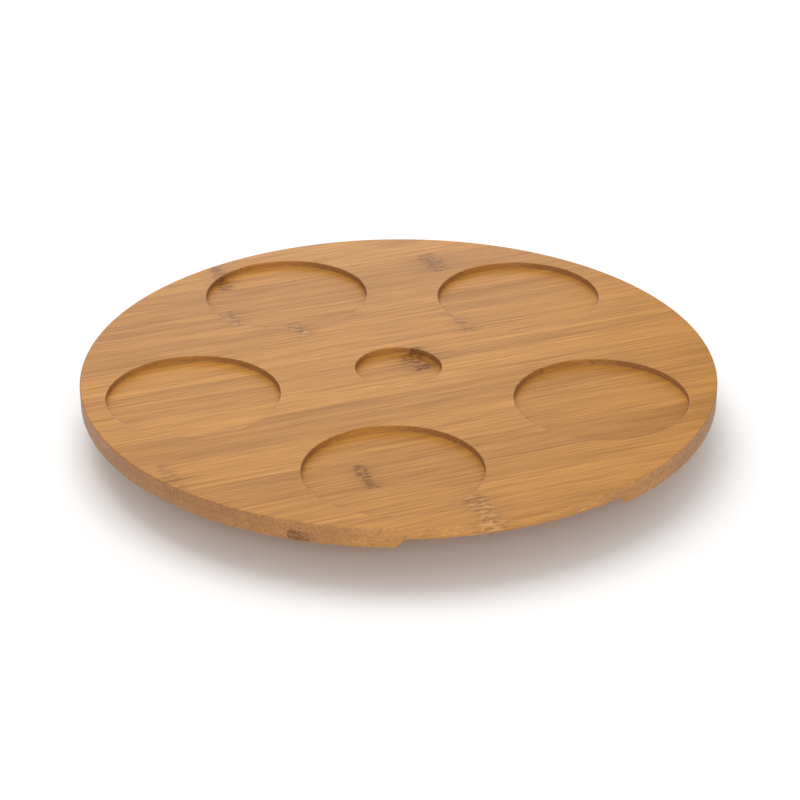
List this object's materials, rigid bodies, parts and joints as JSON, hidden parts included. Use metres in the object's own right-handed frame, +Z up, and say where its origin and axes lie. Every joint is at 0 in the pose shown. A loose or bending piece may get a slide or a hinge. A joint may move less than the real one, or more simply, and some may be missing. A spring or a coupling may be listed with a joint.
{
  "type": "lazy susan turntable",
  "caption": "Round bamboo lazy susan with round dish recesses, finger grips under the rim, and a ring ball bearing on a smaller footed base.",
  "frame": {"origin": "on the spin axis, at the surface that the feet stand on", "axes": "+Z up along the spin axis, +X along the grain of the board's bamboo at rest"},
  "size_m": [0.3, 0.3, 0.0305],
  "materials": {
    "bamboo_top": "satin oiled bamboo",
    "bamboo_bottom": "satin oiled bamboo",
    "bamboo_base": "satin oiled bamboo",
    "race_aluminium": "turned",
    "rivet_aluminium": "satin",
    "zinc_steel": "bright zinc plate",
    "ball_steel": "polished",
    "cage_nylon": "moulded natural nylon",
    "foot_rubber": "matt black"
  },
  "bodies": {
    "base": {"base_top_ply": "bamboo_base", "base_bottom_ply": "bamboo_base", "bearing_outer_race": "race_aluminium", "base_screws": "zinc_steel", "foot_1": "foot_rubber", "foot_2": "foot_rubber", "foot_3": "foot_rubber", "foot_4": "foot_rubber", "foot_5": "foot_rubber", "foot_6": "foot_rubber"},
    "cage": {"ball_cage": "cage_nylon", "ball_01": "ball_steel", "ball_02": "ball_steel", "ball_03": "ball_steel", "ball_04": "ball_steel", "ball_05": "ball_steel", "ball_06": "ball_steel", "ball_07": "ball_steel", "ball_08": "ball_steel", "ball_09": "ball_steel", "ball_10": "ball_steel", "ball_11": "ball_steel", "ball_12": "ball_steel", "ball_13": "ball_steel", "ball_14": "ball_steel", "ball_15": "ball_steel", "ball_16": "ball_steel", "ball_17": "ball_steel", "ball_18": "ball_steel", "ball_19": "ball_steel", "ball_20": "ball_steel", "ball_21": "ball_steel", "ball_22": "ball_steel", "ball_23": "ball_steel", "ball_24": "ball_steel"},
    "turntable": {"board_top_ply": "bamboo_top", "board_bottom_ply": "bamboo_bottom", "bearing_inner_upper_race": "race_aluminium", "bearing_inner_lower_race": "race_aluminium", "bearing_rivets": "rivet_aluminium", "board_screws": "zinc_steel"}
  },
  "joints": [
    {"name": "board_spin", "type": "hinge", "parent": "base", "child": "turntable", "pos_m": [0, 0, 0.01675], "axis": [0, 0, 1], "continuous": true},
    {"name": "cage_spin", "type": "hinge", "parent": "base", "child": "cage", "pos_m": [0, 0, 0.01675], "axis": [0, 0, 1], "continuous": true}
  ],
  "couplings": [
    {"joint": "cage_spin", "follows": "board_spin", "ratio": 0.488}
  ]
}
